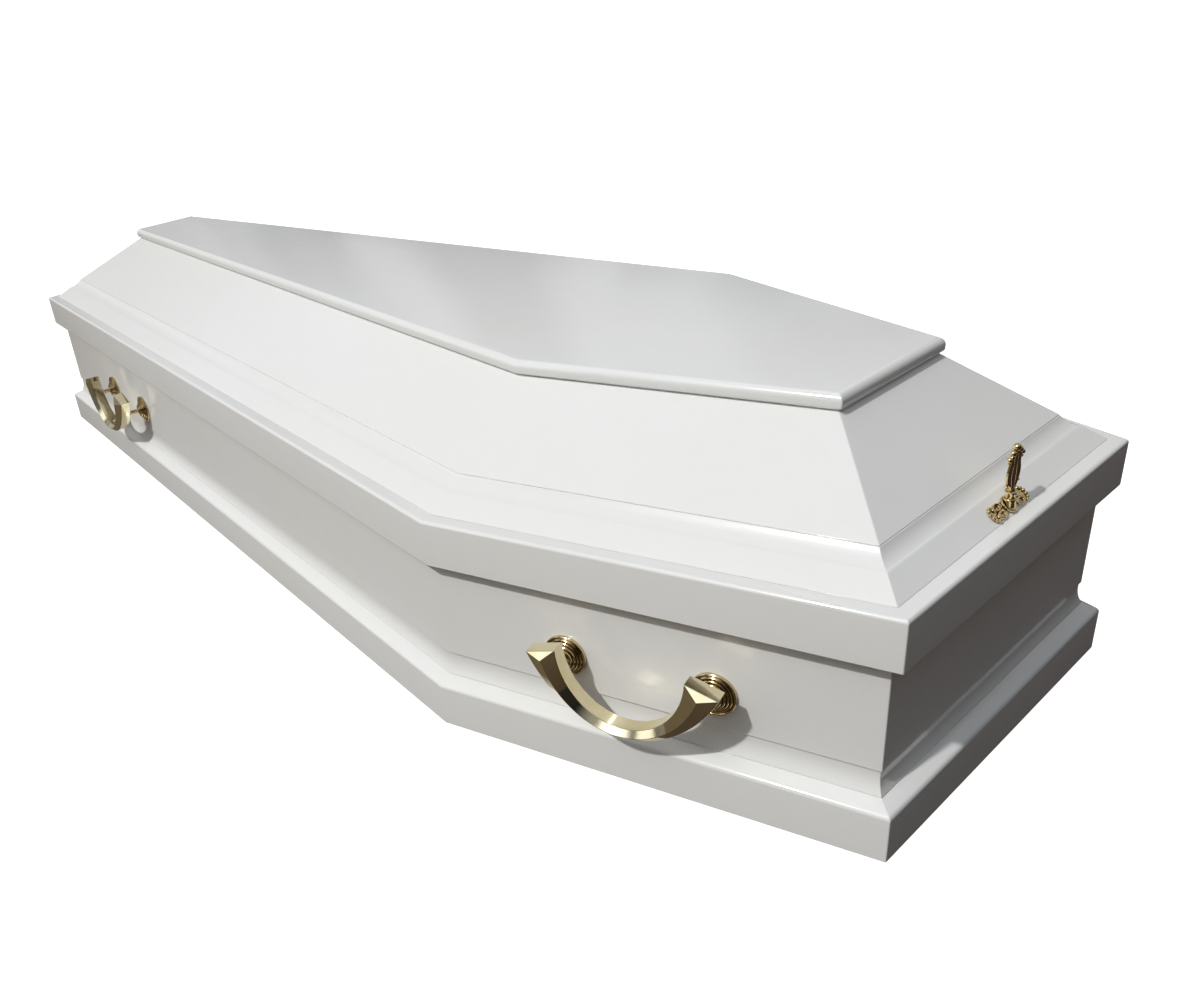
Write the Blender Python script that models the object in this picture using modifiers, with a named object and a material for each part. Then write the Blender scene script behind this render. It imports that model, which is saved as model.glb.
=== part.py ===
"""Six-sided lidded coffin with a plinth, raised lid, side handles and lid screws.

Metres, +Z up. The origin is under the middle of the box, on the floor. +X runs towards the
head end, and the near side is at -Y.
"""
import math

import bmesh
import bpy
from mathutils import Matrix, Vector

for old in list(bpy.data.objects):
    bpy.data.objects.remove(old, do_unlink=True)

# Clearance between pieces that touch
GAP = 0.0003

# Plan of the body, over its outer faces
BODY_LENGTH = 1.920
SHOULDER_FROM_FOOT = 1.448
FOOT_WIDTH = 0.403
SHOULDER_WIDTH = 0.723
HEAD_WIDTH = 0.445
BOARD_THICKNESS = 0.018

# Plinth
PLINTH_PROJECTION = 0.020
PLINTH_EDGE_HEIGHT = 0.0555
PLINTH_LEDGE_RISE = 0.0075
PLINTH_EDGE_RADIUS = 0.006

# Base cove strip
BASE_COVE_PROJECTION = 0.003
BASE_COVE_LIP = 0.0017
BASE_COVE_RISE = 0.020
BASE_COVE_FLAT = 0.0065
BASE_COVE_RECESS = 0.002

# Body boards and bottom
BODY_BOARD_HEIGHT = 0.1278
BOTTOM_THICKNESS = 0.016

# Lid rim
RIM_PROJECTION = 0.0165
RIM_HEIGHT = 0.0564
RIM_EDGE_RADIUS = 0.0055

# Lid cove moulding, with the sloping ledge below the cove
LEDGE_SET_IN = 0.001
LEDGE_RUN = 0.0255
LEDGE_RISE = 0.017
COVE_RUN = 0.0198
COVE_RISE = 0.0143
COVE_END_TILT = math.radians(55)
COVE_BACK = 0.012
# The ledge and cove are narrower at the head and foot, by this share
END_SHARE = 0.88

# Lid slope and panel
SLOPE_RISE = 0.0805
SLOPE_THICKNESS = 0.012
PANEL_SIDE_INSET = 0.154
PANEL_HEAD_INSET = 0.135
PANEL_FOOT_INSET = 0.167
PANEL_OVERHANG = 0.007
PANEL_THICKNESS = 0.0163
PANEL_TOP_RADIUS = 0.0085
PANEL_BOTTOM_RADIUS = 0.0035

# Handles: where they are on the side
HANDLE_HEIGHT = 0.1338
LEG_HANDLE_FROM_FOOT = 0.354
SHOULDER_HANDLE_FROM_HEAD = 0.247

# Bail: a flared bar on part of an ellipse, with a ridge like a roof
BAIL_HALF_SPAN = 0.094
BAIL_DROP = 0.118
BAIL_ARC = math.radians(70)
BAIL_STANDOFF = 0.0295
BAIL_EAVE = 0.0175
BAIL_RIDGE = 0.007
BAIL_MID_WIDTH = 0.0124
BAIL_END_WIDTH = 0.037
BAIL_FLARE = 0.120
BAIL_HIP = 0.004
BAIL_STEPS = 26

# Rosettes
ROSETTE_RADIUS = 0.025
ROSETTE_RIM = 0.003
ROSETTE_DEPTH = 0.0105
ROSETTE_ANGLE = math.radians(54)
ROSETTE_SHARE_OF_WIDTH = 0.7
POST_RADIUS = 0.004
POST_NECK = 0.0035
TURNED_STEPS = 24

# Lid screws and their plates
PLATE_LENGTH = 0.074
PLATE_WIDTH = 0.0195
PLATE_THICKNESS = 0.002
PLATE_SET_IN = 0.0012
PLATE_BEADS = 6
PLATE_HOLE_RADIUS = 0.0021
PLATE_HOLE_OFFSET = 0.0175
PLATE_HOLE_SPREAD = 0.0042
SCREW_SET_IN = 0.0072
COLLAR_RADIUS = 0.0085
COLLAR_TOP_RADIUS = 0.0052
COLLAR_HEIGHT = 0.0225
SCREW_THICKNESS = 0.0046
SCREW_HEIGHT = 0.067
SCREW_HALF_WIDTH = 0.0125
CROWN_RADIUS = 0.0042

# Half widths of the thumb screw's wing up its height, as shares of its own size
SCREW_OUTLINE = [(0.32, 0.24), (0.32, 0.34), (0.50, 0.42), (0.83, 0.50), (1.0, 0.60), (0.94, 0.70),
                 (0.70, 0.82), (0.90, 0.90), (0.60, 0.97), (0.25, 1.0)]
# Crown balls of the thumb screw: across, up and radius, as shares of its half width, height
# and largest ball
CROWN_BALLS = [(0.0, 1.045, 1.0), (0.50, 0.975, 0.8), (-0.50, 0.975, 0.8), (0.96, 0.905, 0.7),
               (-0.96, 0.905, 0.7)]

# Length left at both ends of a moulding before it is sawn
SAW_ALLOWANCE = 0.06
# Segments in a small rounded edge and in a cove
EDGE_STEPS = 3
COVE_STEPS = 6

WHITE_LACQUER = ((0.82, 0.82, 0.80), 0.12, 0.0)
BRASS = ((0.66, 0.57, 0.34), 0.22, 1.0)

# Heights of the joints between the pieces
PLINTH_TOP = PLINTH_EDGE_HEIGHT + PLINTH_LEDGE_RISE
BASE_COVE_BOTTOM = PLINTH_TOP + GAP
BASE_COVE_TOP = BASE_COVE_BOTTOM + BASE_COVE_LIP + BASE_COVE_RISE + BASE_COVE_FLAT
BODY_BOTTOM = BASE_COVE_TOP + GAP
BODY_TOP = BODY_BOTTOM + BODY_BOARD_HEIGHT
RIM_BOTTOM = BODY_TOP + GAP
RIM_TOP = RIM_BOTTOM + RIM_HEIGHT
LEDGE_BOTTOM = RIM_TOP + GAP
COVE_TOP = LEDGE_BOTTOM + LEDGE_RISE + COVE_RISE
SLOPE_BOTTOM = COVE_TOP + GAP
SLOPE_TOP = SLOPE_BOTTOM + SLOPE_RISE
PANEL_BOTTOM = SLOPE_TOP + GAP
PANEL_TOP = PANEL_BOTTOM + PANEL_THICKNESS
# How far in from the body's face the cove ends and the slope starts, along the sides
SLOPE_SET_IN = LEDGE_SET_IN + LEDGE_RUN + COVE_RUN
END_LEDGE_TILT = math.atan2(LEDGE_RISE, LEDGE_RUN * END_SHARE)

SIDES = ["near_leg", "near_shoulder", "head", "far_shoulder", "far_leg", "foot"]
HEAD = SIDES.index("head")
FOOT = SIDES.index("foot")


def named_collection(name):
    collection = bpy.data.collections.new(name)
    bpy.context.scene.collection.children.link(collection)
    return collection


COFFIN = named_collection("coffin")
CUTTERS = named_collection("cutters")


def material(name, finish):
    colour, roughness, metallic = finish
    made = bpy.data.materials.new(name)
    made.use_nodes = True
    shader = made.node_tree.nodes["Principled BSDF"]
    shader.inputs["Base Color"].default_value = (*colour, 1.0)
    shader.inputs["Roughness"].default_value = roughness
    shader.inputs["Metallic"].default_value = metallic
    made.diffuse_color = (*colour, 1.0)
    return made


def finish_object(name, bm, finish, parent=None, smooth=False):
    """Turns a bmesh into a named object of the coffin with its own material."""
    bmesh.ops.recalc_face_normals(bm, faces=bm.faces[:])
    mesh = bpy.data.meshes.new(name)
    bm.to_mesh(mesh)
    bm.free()
    if smooth:
        mesh.shade_smooth()
        mesh.set_sharp_from_angle(angle=math.radians(35))
    mesh.materials.append(material(name, finish))
    made = bpy.data.objects.new(name, mesh)
    made.parent = parent
    COFFIN.objects.link(made)
    return made


def empty(name, location, rotation):
    made = bpy.data.objects.new(name, None)
    made.location = location
    made.rotation_euler = rotation
    COFFIN.objects.link(made)
    return made


# Plan of the coffin

def body_corners():
    """The six outer corners of the body, counter-clockwise from the near foot corner."""
    half = BODY_LENGTH / 2
    shoulder = SHOULDER_FROM_FOOT - half
    near = [(-half, -FOOT_WIDTH / 2), (shoulder, -SHOULDER_WIDTH / 2), (half, -HEAD_WIDTH / 2)]
    far = [(x, -y) for x, y in reversed(near)]
    return [Vector(corner) for corner in near + far]


CORNERS = body_corners()


def side_line(side):
    start = CORNERS[side]
    end = CORNERS[(side + 1) % len(SIDES)]
    return start, end, (end - start).normalized()


def inset_corners(insets):
    """Corners of the body's plan with each side moved in by its own distance."""
    lines = []
    for side, inset in enumerate(insets):
        start, _, along = side_line(side)
        inward = Vector((-along.y, along.x))
        lines.append((start + inward * inset, along))
    corners = []
    for side, (point, along) in enumerate(lines):
        before, before_along = lines[side - 1]
        reach = (point - before).cross(along) / before_along.cross(along)
        corners.append(before + before_along * reach)
    return corners


def even_inset(inset):
    return inset_corners([inset] * len(SIDES))


def lid_share(side):
    return END_SHARE if side in (HEAD, FOOT) else 1.0


def panel_insets(extra):
    """Insets of the lid panel's outline, by side, with an extra distance on each."""
    insets = [PANEL_SIDE_INSET + extra] * len(SIDES)
    insets[HEAD] = PANEL_HEAD_INSET + extra
    insets[FOOT] = PANEL_FOOT_INSET + extra
    return insets


# Profiles, as points (distance outside the body's face, height)

def rounded(before, corner, after, radius, steps):
    """The points of an arc that rounds a corner of an outline."""
    corner = Vector(corner)
    back = (Vector(before) - corner).normalized()
    on = (Vector(after) - corner).normalized()
    half_angle = back.angle(on) / 2
    centre = corner + (back + on).normalized() * radius / math.sin(half_angle)
    start = corner + back * radius / math.tan(half_angle) - centre
    turn = start.angle_signed(corner + on * radius / math.tan(half_angle) - centre)
    return [centre + Matrix.Rotation(-turn * step / steps, 2) @ start for step in range(steps + 1)]


def plinth_profile():
    inside = -BOARD_THICKNESS
    ledge_end = (BASE_COVE_PROJECTION, PLINTH_TOP)
    foot = (PLINTH_PROJECTION, 0.0)
    edge = rounded(foot, (PLINTH_PROJECTION, PLINTH_EDGE_HEIGHT), ledge_end, PLINTH_EDGE_RADIUS,
                   EDGE_STEPS)
    return [(inside, 0.0), foot, *edge, ledge_end, (inside, PLINTH_TOP)]


def base_cove_profile():
    """A lip, a shallow cove that ends upright, and a flat under the body board."""
    inside = -BOARD_THICKNESS
    lip_top = BASE_COVE_BOTTOM + BASE_COVE_LIP
    run = BASE_COVE_PROJECTION + BASE_COVE_RECESS
    radius = (run ** 2 + BASE_COVE_RISE ** 2) / (2 * run)
    sweep = math.asin(BASE_COVE_RISE / radius)
    centre = Vector((radius - BASE_COVE_RECESS, lip_top + BASE_COVE_RISE))
    cove = []
    for step in range(COVE_STEPS + 1):
        angle = math.pi + sweep * (1 - step / COVE_STEPS)
        cove.append(centre + radius * Vector((math.cos(angle), math.sin(angle))))
    return [(inside, BASE_COVE_BOTTOM), (BASE_COVE_PROJECTION, BASE_COVE_BOTTOM), *cove,
            (-BASE_COVE_RECESS, BASE_COVE_TOP), (inside, BASE_COVE_TOP)]


def body_profile():
    inside = -BOARD_THICKNESS
    return [(inside, BODY_BOTTOM), (0.0, BODY_BOTTOM), (0.0, BODY_TOP), (inside, BODY_TOP)]


def rim_profile():
    inside = -BOARD_THICKNESS
    bottom = (RIM_PROJECTION, RIM_BOTTOM)
    top = (inside, RIM_TOP)
    edge = rounded(bottom, (RIM_PROJECTION, RIM_TOP), top, RIM_EDGE_RADIUS, EDGE_STEPS)
    return [(inside, RIM_BOTTOM), bottom, *edge, top]


def lid_cove_profile(side):
    """A sloping ledge, and a cove that steepens from it up to the slope."""
    start_tilt = 2 * math.atan2(COVE_RISE, COVE_RUN) - COVE_END_TILT
    radius = COVE_RUN / (math.sin(COVE_END_TILT) - math.sin(start_tilt))
    set_in = [(LEDGE_SET_IN, LEDGE_BOTTOM)]
    for step in range(COVE_STEPS + 1):
        tilt = start_tilt + (COVE_END_TILT - start_tilt) * step / COVE_STEPS
        set_in.append((LEDGE_SET_IN + LEDGE_RUN + radius * (math.sin(tilt) - math.sin(start_tilt)),
                       LEDGE_BOTTOM + LEDGE_RISE + radius * (math.cos(start_tilt) - math.cos(tilt))))
    set_in += [(SLOPE_SET_IN + COVE_BACK, COVE_TOP), (SLOPE_SET_IN + COVE_BACK, LEDGE_BOTTOM)]
    return [(-inwards * lid_share(side), up) for inwards, up in set_in]


def slope_profile(side):
    """A board sawn level at both ends, from the cove's top to just under the panel's edge."""
    low = SLOPE_SET_IN * lid_share(side)
    high = panel_insets(PANEL_OVERHANG)[side]
    level_width = SLOPE_THICKNESS * math.hypot(high - low, SLOPE_RISE) / SLOPE_RISE
    return [(-low, SLOPE_BOTTOM), (-high, SLOPE_TOP), (-high - level_width, SLOPE_TOP),
            (-low - level_width, SLOPE_BOTTOM)]


# Boards and mouldings

def saw(bm, point, normal):
    """Takes off what lies past a plane, on its normal's side, and closes the cut."""
    cut = bmesh.ops.bisect_plane(bm, geom=bm.verts[:] + bm.edges[:] + bm.faces[:], dist=1e-6,
                                 plane_co=point, plane_no=normal, clear_outer=True)
    edges = [part for part in cut["geom_cut"] if isinstance(part, bmesh.types.BMEdge)]
    bmesh.ops.edgeloop_fill(bm, edges=edges)


def extruded(bm, outline, offset):
    """A flat outline pushed along an offset into a solid."""
    face = bm.faces.new([bm.verts.new(point) for point in outline])
    pushed = bmesh.ops.extrude_face_region(bm, geom=[face])["geom"]
    verts = [part for part in pushed if isinstance(part, bmesh.types.BMVert)]
    bmesh.ops.translate(bm, verts=verts, vec=offset)


def board(name, side, profile, outer, inner, smooth=False):
    """A length of a profile along one side, sawn to the mitres through outer and inner corners."""
    start, end, along = side_line(side)
    angle = math.atan2(along.y, along.x)
    length = (end - start).length
    bm = bmesh.new()
    outline = [(-SAW_ALLOWANCE, -out, up) for out, up in profile]
    extruded(bm, outline, (length + 2 * SAW_ALLOWANCE, 0.0, 0.0))
    to_side = Matrix.Rotation(-angle, 2)
    for corner, away in ((side, -1), ((side + 1) % len(SIDES), 1)):
        mitre = (to_side @ (inner[corner] - outer[corner])).normalized()
        normal = Vector((mitre.y, -mitre.x, 0.0))
        if normal.x * away < 0:
            normal.negate()
        point = (to_side @ (outer[corner] - start)).to_3d() - normal * GAP / 2
        saw(bm, point, normal)
    made = finish_object(name, bm, WHITE_LACQUER, smooth=smooth)
    made.location = (start.x, start.y, 0.0)
    made.rotation_euler = (0.0, 0.0, angle)
    return made


def side_boards():
    inner = even_inset(BOARD_THICKNESS)
    slope_low = inset_corners([SLOPE_SET_IN * lid_share(side) for side in range(len(SIDES))])
    slope_high = inset_corners(panel_insets(PANEL_OVERHANG))
    for side, place in enumerate(SIDES):
        board("plinth_" + place, side, plinth_profile(), CORNERS, inner, smooth=True)
        board("base_cove_" + place, side, base_cove_profile(), CORNERS, inner, smooth=True)
        board("body_board_" + place, side, body_profile(), CORNERS, inner)
        board("lid_rim_" + place, side, rim_profile(), CORNERS, inner, smooth=True)
        board("lid_cove_" + place, side, lid_cove_profile(side), CORNERS, slope_low, smooth=True)
        board("lid_slope_" + place, side, slope_profile(side), slope_low, slope_high)


def bottom_board():
    corners = even_inset(BOARD_THICKNESS + GAP)
    bm = bmesh.new()
    extruded(bm, [(*corner, 0.0) for corner in corners], (0.0, 0.0, BOTTOM_THICKNESS))
    finish_object("bottom_board", bm, WHITE_LACQUER)


def lid_panel():
    """The raised panel, with a wide rounding above and a narrow one below."""
    corners = inset_corners(panel_insets(0.0))
    bm = bmesh.new()
    extruded(bm, [(*corner, PANEL_BOTTOM) for corner in corners], (0.0, 0.0, PANEL_THICKNESS))
    for height, radius in ((PANEL_TOP, PANEL_TOP_RADIUS), (PANEL_BOTTOM, PANEL_BOTTOM_RADIUS)):
        level = [edge for edge in bm.edges if all(abs(v.co.z - height) < GAP for v in edge.verts)]
        bmesh.ops.bevel(bm, geom=level, offset=radius, offset_type="OFFSET", affect="EDGES",
                        segments=EDGE_STEPS, profile=0.5)
    finish_object("lid_panel", bm, WHITE_LACQUER, smooth=True)


# Handles. In a handle's own frame X runs along the side, Y up and Z out of it, and the origin
# is on the side, midway between the rosettes.

def bail_normal(angle):
    """Away from the ellipse's middle, at an angle from its lowest point."""
    across = math.sin(angle) / BAIL_HALF_SPAN
    down = -math.cos(angle) / BAIL_DROP
    return Vector((across, down)).normalized()


def bail_point(angle):
    return Vector((BAIL_HALF_SPAN * math.sin(angle), -BAIL_DROP * math.cos(angle)))


def bail_half_width(from_end):
    flare = max(0.0, 1 - from_end / BAIL_FLARE) ** 2
    return (BAIL_MID_WIDTH + (BAIL_END_WIDTH - BAIL_MID_WIDTH) * flare) / 2


def distance_from_end(angle):
    """Length of the bail's middle line from an angle to the nearer end."""
    steps = 40
    turns = [abs(angle) + (BAIL_ARC - abs(angle)) * step / steps for step in range(steps + 1)]
    points = [bail_point(turn) for turn in turns]
    return sum((b - a).length for a, b in zip(points, points[1:]))


def rosette_centre():
    """Where a rosette's post meets the bail, from the ellipse's middle."""
    width = bail_half_width(distance_from_end(ROSETTE_ANGLE))
    return bail_point(ROSETTE_ANGLE) + bail_normal(ROSETTE_ANGLE) * width * ROSETTE_SHARE_OF_WIDTH


def bail(name, parent):
    """A loft of house-shaped sections, hipped at both ends."""
    hip_turn = BAIL_HIP / BAIL_HALF_SPAN
    inner = BAIL_ARC - hip_turn
    turns = [-inner + 2 * inner * step / BAIL_STEPS for step in range(BAIL_STEPS + 1)]
    turns = [-BAIL_ARC] + turns + [BAIL_ARC]
    eave = BAIL_STANDOFF + BAIL_EAVE
    lift = -rosette_centre().y
    bm = bmesh.new()
    sections = []
    for turn in turns:
        middle = bail_point(turn) + Vector((0.0, lift))
        half = bail_half_width(distance_from_end(turn))
        ridge = eave if abs(turn) == BAIL_ARC else eave + BAIL_RIDGE
        shape = [(-half, BAIL_STANDOFF), (half, BAIL_STANDOFF), (half, eave), (0.0, ridge),
                 (-half, eave)]
        normal = bail_normal(turn)
        sections.append([bm.verts.new((*(middle + normal * out), up)) for out, up in shape])
    for first, second in zip(sections, sections[1:]):
        for corner in range(len(first)):
            following = (corner + 1) % len(first)
            bm.faces.new([first[corner], first[following], second[following], second[corner]])
    bm.faces.new(sections[0])
    bm.faces.new(sections[-1])
    return finish_object(name, bm, BRASS, parent)


def rosette(name, parent, across):
    """A turned, stepped dish with the post that carries the bail."""
    post_end = BAIL_STANDOFF - GAP
    shoulder = (ROSETTE_RIM + ROSETTE_DEPTH) / 2
    profile = [(0.0, post_end), (POST_RADIUS, post_end),
               (POST_RADIUS, ROSETTE_DEPTH + POST_NECK), (POST_RADIUS + POST_NECK, ROSETTE_DEPTH),
               (ROSETTE_RADIUS * 0.56, ROSETTE_DEPTH * 0.92), (ROSETTE_RADIUS * 0.68, shoulder),
               (ROSETTE_RADIUS * 0.82, shoulder), (ROSETTE_RADIUS, ROSETTE_RIM),
               (ROSETTE_RADIUS, GAP), (0.0, GAP)]
    bm = bmesh.new()
    points = [bm.verts.new((radius, 0.0, up)) for radius, up in profile]
    for above, below in zip(points, points[1:]):
        bm.edges.new((above, below))
    made = finish_object(name, bm, BRASS, parent, smooth=True)
    turned = made.modifiers.new("turned", "SCREW")
    turned.steps = TURNED_STEPS
    turned.render_steps = TURNED_STEPS
    turned.use_merge_vertices = True
    turned.merge_threshold = 0.00001
    made.location = (across, 0.0, 0.0)
    return made


def handle(name, side, distance):
    """A bail on two rosettes, at a distance along a side from its start."""
    start, end, along = side_line(side)
    place = start + along * distance
    angle = math.atan2(along.y, along.x)
    frame = empty(name, (place.x, place.y, HANDLE_HEIGHT), (math.pi / 2, 0.0, angle))
    bail(name + "_bail", frame)
    rosette(name + "_rosette_left", frame, -rosette_centre().x)
    rosette(name + "_rosette_right", frame, rosette_centre().x)


def handles():
    for side, place in enumerate(SIDES):
        start, end, along = side_line(side)
        length = (end - start).length
        if place == "near_leg":
            handle("handle_near_foot", side, LEG_HANDLE_FROM_FOOT)
        elif place == "near_shoulder":
            handle("handle_near_head", side, length - SHOULDER_HANDLE_FROM_HEAD)
        elif place == "far_shoulder":
            handle("handle_far_head", side, SHOULDER_HANDLE_FROM_HEAD)
        elif place == "far_leg":
            handle("handle_far_foot", side, length - LEG_HANDLE_FROM_FOOT)


# Lid screws. In a screw's own frame X runs along the end, Y into the lid and Z up, and the
# origin is on the outer line of the sloping ledge.

def plate_outline():
    """A strip with round ends, each edged with a row of beads."""
    end_radius = PLATE_WIDTH / 2
    spread = math.pi / PLATE_BEADS
    bead = end_radius * math.sin(spread / 2) / (1 + math.sin(spread / 2))
    outline = []
    for end in (0, 1):
        middle = Vector(((PLATE_LENGTH / 2 - end_radius) * (1 - 2 * end), 0.0))
        for number in range(PLATE_BEADS):
            towards = math.pi * end - math.pi / 2 + spread * (number + 0.5)
            centre = middle + (end_radius - bead) * Vector((math.cos(towards), math.sin(towards)))
            for step in range(EDGE_STEPS + 1):
                turn = towards + math.pi * (step / EDGE_STEPS - 0.5)
                point = centre + bead * Vector((math.cos(turn), math.sin(turn)))
                outline.append((point.x, point.y, 0.0))
    return outline


def screw_plate(name, parent):
    """The openwork plate, lying on the ledge. Its own Y runs up the ledge from its middle."""
    bm = bmesh.new()
    extruded(bm, plate_outline(), (0.0, 0.0, PLATE_THICKNESS))
    made = finish_object(name, bm, BRASS, parent)
    tilt = Matrix.Rotation(END_LEDGE_TILT, 4, "X")
    made.location = tilt @ Vector((0.0, PLATE_SET_IN + PLATE_WIDTH / 2, GAP))
    made.rotation_euler = (END_LEDGE_TILT, 0.0, 0.0)
    for along in (-PLATE_HOLE_OFFSET, PLATE_HOLE_OFFSET):
        for up in (-PLATE_HOLE_SPREAD, PLATE_HOLE_SPREAD):
            hole = bmesh.new()
            bmesh.ops.create_cone(hole, cap_ends=True, segments=10, radius1=PLATE_HOLE_RADIUS,
                                  radius2=PLATE_HOLE_RADIUS, depth=4 * PLATE_THICKNESS)
            cutter = hidden_shape(name + "_hole", hole, made, (along, up, PLATE_THICKNESS / 2))
            combine(made, cutter, "DIFFERENCE")
    return made


def hidden_shape(name, bm, parent, location):
    """A shape that only cuts or adds to its parent."""
    mesh = bpy.data.meshes.new(name)
    bm.to_mesh(mesh)
    bm.free()
    made = bpy.data.objects.new(name, mesh)
    made.parent = parent
    made.location = location
    made.hide_render = True
    made.display_type = "WIRE"
    CUTTERS.objects.link(made)
    return made


def combine(made, shape, operation):
    modifier = made.modifiers.new(shape.name, "BOOLEAN")
    modifier.operation = operation
    modifier.solver = "EXACT"
    modifier.object = shape


def thumb_screw(name, parent):
    """A standing wing with a crown of balls, on a collar that is sawn to the plate's slope."""
    half = SCREW_THICKNESS / 2
    right = [(SCREW_HALF_WIDTH * across, SCREW_HEIGHT * up) for across, up in SCREW_OUTLINE]
    outline = right + [(-across, up) for across, up in reversed(right)]
    bm = bmesh.new()
    extruded(bm, [(across, up, -half) for across, up in outline], (0.0, 0.0, SCREW_THICKNESS))
    made = finish_object(name, bm, BRASS, parent)
    made.location = (0.0, SCREW_SET_IN, 0.0)
    made.rotation_euler = (math.pi / 2, 0.0, 0.0)

    collar = bmesh.new()
    turn = Matrix.Rotation(-math.pi / 2, 4, "X")
    bmesh.ops.create_cone(collar, cap_ends=True, segments=16, radius1=COLLAR_RADIUS,
                          radius2=COLLAR_TOP_RADIUS, depth=2 * COLLAR_HEIGHT, matrix=turn)
    tilt_up = Vector((0.0, math.cos(END_LEDGE_TILT), math.sin(END_LEDGE_TILT)))
    on_plate = tilt_up * (PLATE_THICKNESS + 2 * GAP) + Vector((0.0, 0.0, SCREW_SET_IN))
    saw(collar, on_plate, -tilt_up)
    combine(made, hidden_shape(name + "_collar", collar, made, (0.0, 0.0, 0.0)), "UNION")
    for number, (across, up, size) in enumerate(CROWN_BALLS):
        ball = bmesh.new()
        bmesh.ops.create_uvsphere(ball, u_segments=10, v_segments=6, radius=CROWN_RADIUS * size)
        place = (SCREW_HALF_WIDTH * across, SCREW_HEIGHT * up, 0.0)
        combine(made, hidden_shape(f"{name}_ball_{number}", ball, made, place), "UNION")
    return made


def lid_screw(place, side):
    start, end, along = side_line(side)
    inward = Vector((-along.y, along.x))
    middle = (start + end) / 2 + inward * LEDGE_SET_IN * END_SHARE
    angle = math.atan2(along.y, along.x)
    frame = empty("lid_screw_" + place, (middle.x, middle.y, LEDGE_BOTTOM), (0.0, 0.0, angle))
    screw_plate("screw_plate_" + place, frame)
    thumb_screw("thumb_screw_" + place, frame)


side_boards()
bottom_board()
lid_panel()
handles()
lid_screw("head", HEAD)
lid_screw("foot", FOOT)
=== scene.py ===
import math

import bmesh
import bpy
from mathutils import Matrix, Vector

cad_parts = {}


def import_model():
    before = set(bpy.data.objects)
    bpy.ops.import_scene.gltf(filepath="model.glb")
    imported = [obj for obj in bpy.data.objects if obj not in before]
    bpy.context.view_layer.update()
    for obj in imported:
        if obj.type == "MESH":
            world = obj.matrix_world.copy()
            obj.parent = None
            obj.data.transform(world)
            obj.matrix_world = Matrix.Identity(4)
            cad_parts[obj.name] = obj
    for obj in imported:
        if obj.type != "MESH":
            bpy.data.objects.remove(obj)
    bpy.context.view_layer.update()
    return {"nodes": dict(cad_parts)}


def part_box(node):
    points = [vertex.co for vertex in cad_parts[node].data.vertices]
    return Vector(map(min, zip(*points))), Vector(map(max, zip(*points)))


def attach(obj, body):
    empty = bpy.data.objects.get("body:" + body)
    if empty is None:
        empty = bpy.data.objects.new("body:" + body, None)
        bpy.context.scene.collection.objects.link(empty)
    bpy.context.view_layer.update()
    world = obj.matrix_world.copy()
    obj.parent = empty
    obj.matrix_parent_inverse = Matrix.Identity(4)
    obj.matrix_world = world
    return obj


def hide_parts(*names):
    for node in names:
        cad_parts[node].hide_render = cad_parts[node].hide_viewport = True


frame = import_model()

# Looks of a six-sided lidded coffin: white gloss lacquer over mitred mouldings, with brass
# bails, rosettes and lid screws. Metres, +Z up, +X towards the head end, near side at -Y.

# Rounded edges of the lacquered boards
SOFT_EDGE = 0.0012
SOFT_STEPS = 3
ARC_STEPS = 8

# Shapes inside a moulding that its box in the frame doesn't give
PLINTH_EDGE_RADIUS = 0.006
PLINTH_LEDGE_RISE = 0.0075
BASE_COVE_PROJECTION = 0.003
BASE_COVE_LIP = 0.0017
BASE_COVE_FLAT = 0.0065
BASE_COVE_RECESS = 0.002
BOARD_THICKNESS = 0.018
RIM_EDGE_RADIUS = 0.0042
LEDGE_SET_IN = 0.001
LEDGE_RUN = 0.0255
LEDGE_RISE = 0.017
COVE_END_TILT = math.radians(55)
CREASE_RADIUS = 0.014
COVE_BACK = 0.012
SLOPE_THICKNESS = 0.012
PANEL_OVERHANG = 0.007
PANEL_TOP_RADIUS = 0.0085
PANEL_BOTTOM_RADIUS = 0.0035

# Bail: half span and drop of its ellipse, its turn each way, and its section
BAIL_HALF_SPAN = 0.094
BAIL_DROP = 0.118
BAIL_ARC = math.radians(70)
BAIL_STANDOFF = 0.0295
BAIL_EAVE = 0.0175
BAIL_RIDGE = 0.007
BAIL_MID_WIDTH = 0.0124
BAIL_END_WIDTH = 0.037
BAIL_FLARE = 0.120
BAIL_HIP = 0.007
BAIL_STEPS = 72
BAIL_SOFT_EDGE = 0.0006

# Rosettes and their posts
GAP = 0.0003
ROSETTE_DEPTH = 0.0105
ROSETTE_NECK = 0.0072
ROSETTE_EDGE = 0.0018
ROSETTE_RIM_HEIGHT = 0.0028
ROSETTE_RIM_SWELL = 0.0014
ROSETTE_STEPS = 72
NECK_TOP_SHARE = 0.8
NECK_TOP_RISE = 0.0008
POST_RADIUS = 0.004
POST_FOOT_RISE = 0.0030
# Turned rings of the dish: the outer one's inset, the inner one's share of the radius, their
# heights, and how the dish curves between them
ROSETTE_RINGS = 4
RING_SWELL = 0.0013
OUTER_RING_INSET = 0.0048
INNER_RING_SHARE = 0.42
RING_HEIGHTS = (0.0034, 0.0097)
DISH_CURVE = 1.3

# Lid screws and their plates
PLATE_LENGTH = 0.074
PLATE_WIDTH = 0.0195
PLATE_THICKNESS = 0.002
PLATE_SET_IN = 0.0012
PLATE_BEADS = 6
PLATE_HOLE_RADIUS = 0.0021
PLATE_HOLE_OFFSET = 0.0175
PLATE_HOLE_SPREAD = 0.0042
PLATE_HOLE_STEPS = 24
# The slab under the rings, as shares of the plate's thickness and of a bead's radius
SLAB_SHARE = 0.6
SLAB_INSET = 1.6
SLAB_END_STEPS = 12
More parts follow.
